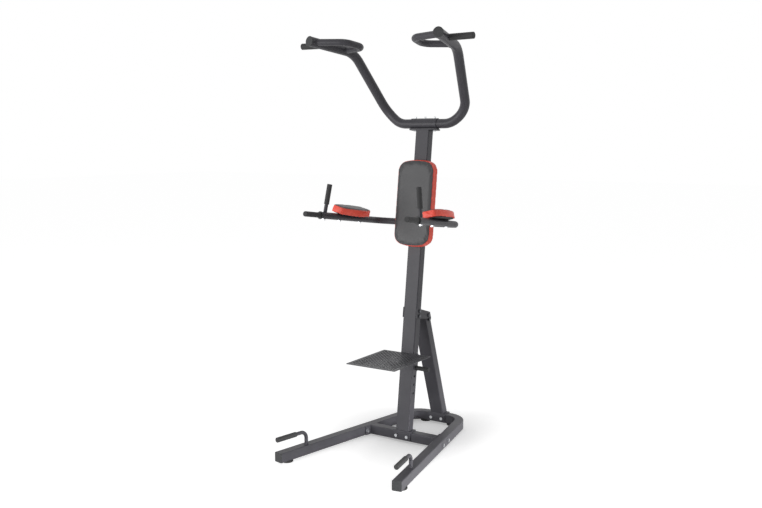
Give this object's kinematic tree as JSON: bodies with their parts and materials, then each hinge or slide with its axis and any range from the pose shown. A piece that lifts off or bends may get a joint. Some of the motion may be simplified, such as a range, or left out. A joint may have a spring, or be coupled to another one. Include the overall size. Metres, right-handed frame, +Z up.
{
  "type": "power tower",
  "caption": "Free-standing power tower with a bent pull-up bar, dip arms with padded rests, backrest, mesh step and push-up handles.",
  "frame": {"origin": "on the floor, at the middle of the tower's length and width", "axes": "+X to the right of a user who faces the backrest, +Y from the open front of the base to the rear brace, +Z up"},
  "size_m": [0.9964, 1.0812, 2.1307],
  "materials": {
    "frame_paint": "satin dark grey powder coat",
    "step_mesh": "satin dark grey coat on expanded sheet",
    "bright_steel": "zinc plated",
    "black_steel": "black oxide steel",
    "black_plastic": "matt black moulded plastic",
    "grip_rubber": "fine ribbed black rubber",
    "foot_rubber": "black rubber pad",
    "board": "black painted board",
    "cushion_cover": "dark grey vinyl top with red-orange vinyl sides"
  },
  "bodies": {
    "tower": {"armrest_bolts": "bright_steel", "backrest_board": "board", "backrest_bolts": "bright_steel", "backrest_cushion": "cushion_cover", "bar_bolts": "bright_steel", "bar_clamp_cap": "frame_paint", "bar_cradle": "frame_paint", "bar_end_plugs": "black_plastic", "base_frame": "frame_paint", "brace_cheeks": "frame_paint", "brace_foot_bracket": "frame_paint", "brace_top_cap": "black_plastic", "bracket_bolts": "bright_steel", "cheek_bolts": "black_steel", "cheek_nuts": "black_steel", "column": "frame_paint", "column_foot_bracket": "frame_paint", "cross_member": "frame_paint", "dip_arm_bolts": "bright_steel", "foot_nuts": "bright_steel", "front_grip_collars": "black_plastic", "grip_post_bolts": "bright_steel", "hex_nuts": "bright_steel", "left_armrest_board": "board", "left_armrest_cushion": "cushion_cover", "left_dip_arm": "frame_paint", "left_front_grip": "grip_rubber", "left_front_handle": "frame_paint", "left_grip_post": "frame_paint", "left_loop_handle": "frame_paint", "left_post_grip": "grip_rubber", "left_push_up_grip": "grip_rubber", "left_push_up_handle": "frame_paint", "left_side_grip": "grip_rubber", "left_side_handle": "frame_paint", "pull_up_bar": "frame_paint", "rail_bolts": "bright_steel", "rail_caps": "black_plastic", "rear_brace": "frame_paint", "right_armrest_board": "board", "right_armrest_cushion": "cushion_cover", "right_dip_arm": "frame_paint", "right_front_grip": "grip_rubber", "right_front_handle": "frame_paint", "right_grip_post": "frame_paint", "right_loop_handle": "frame_paint", "right_post_grip": "grip_rubber", "right_push_up_grip": "grip_rubber", "right_push_up_handle": "frame_paint", "right_side_grip": "grip_rubber", "right_side_handle": "frame_paint", "step_carrier": "frame_paint", "step_cross_pin": "bright_steel", "step_pegs": "grip_rubber", "step_plate": "step_mesh"},
    "front_left_foot": {"front_left_foot": "foot_rubber"},
    "front_right_foot": {"front_right_foot": "foot_rubber"},
    "rear_left_foot": {"rear_left_foot": "foot_rubber"},
    "rear_right_foot": {"rear_right_foot": "foot_rubber"}
  },
  "joints": [
    {"name": "front_left_foot_screw", "type": "slide", "parent": "tower", "child": "front_left_foot", "axis": [0, 0, -1], "range_m": [0, 0.012]},
    {"name": "front_right_foot_screw", "type": "slide", "parent": "tower", "child": "front_right_foot", "axis": [0, 0, -1], "range_m": [0, 0.012]},
    {"name": "rear_left_foot_screw", "type": "slide", "parent": "tower", "child": "rear_left_foot", "axis": [0, 0, -1], "range_m": [0, 0.012]},
    {"name": "rear_right_foot_screw", "type": "slide", "parent": "tower", "child": "rear_right_foot", "axis": [0, 0, -1], "range_m": [0, 0.012]}
  ]
}
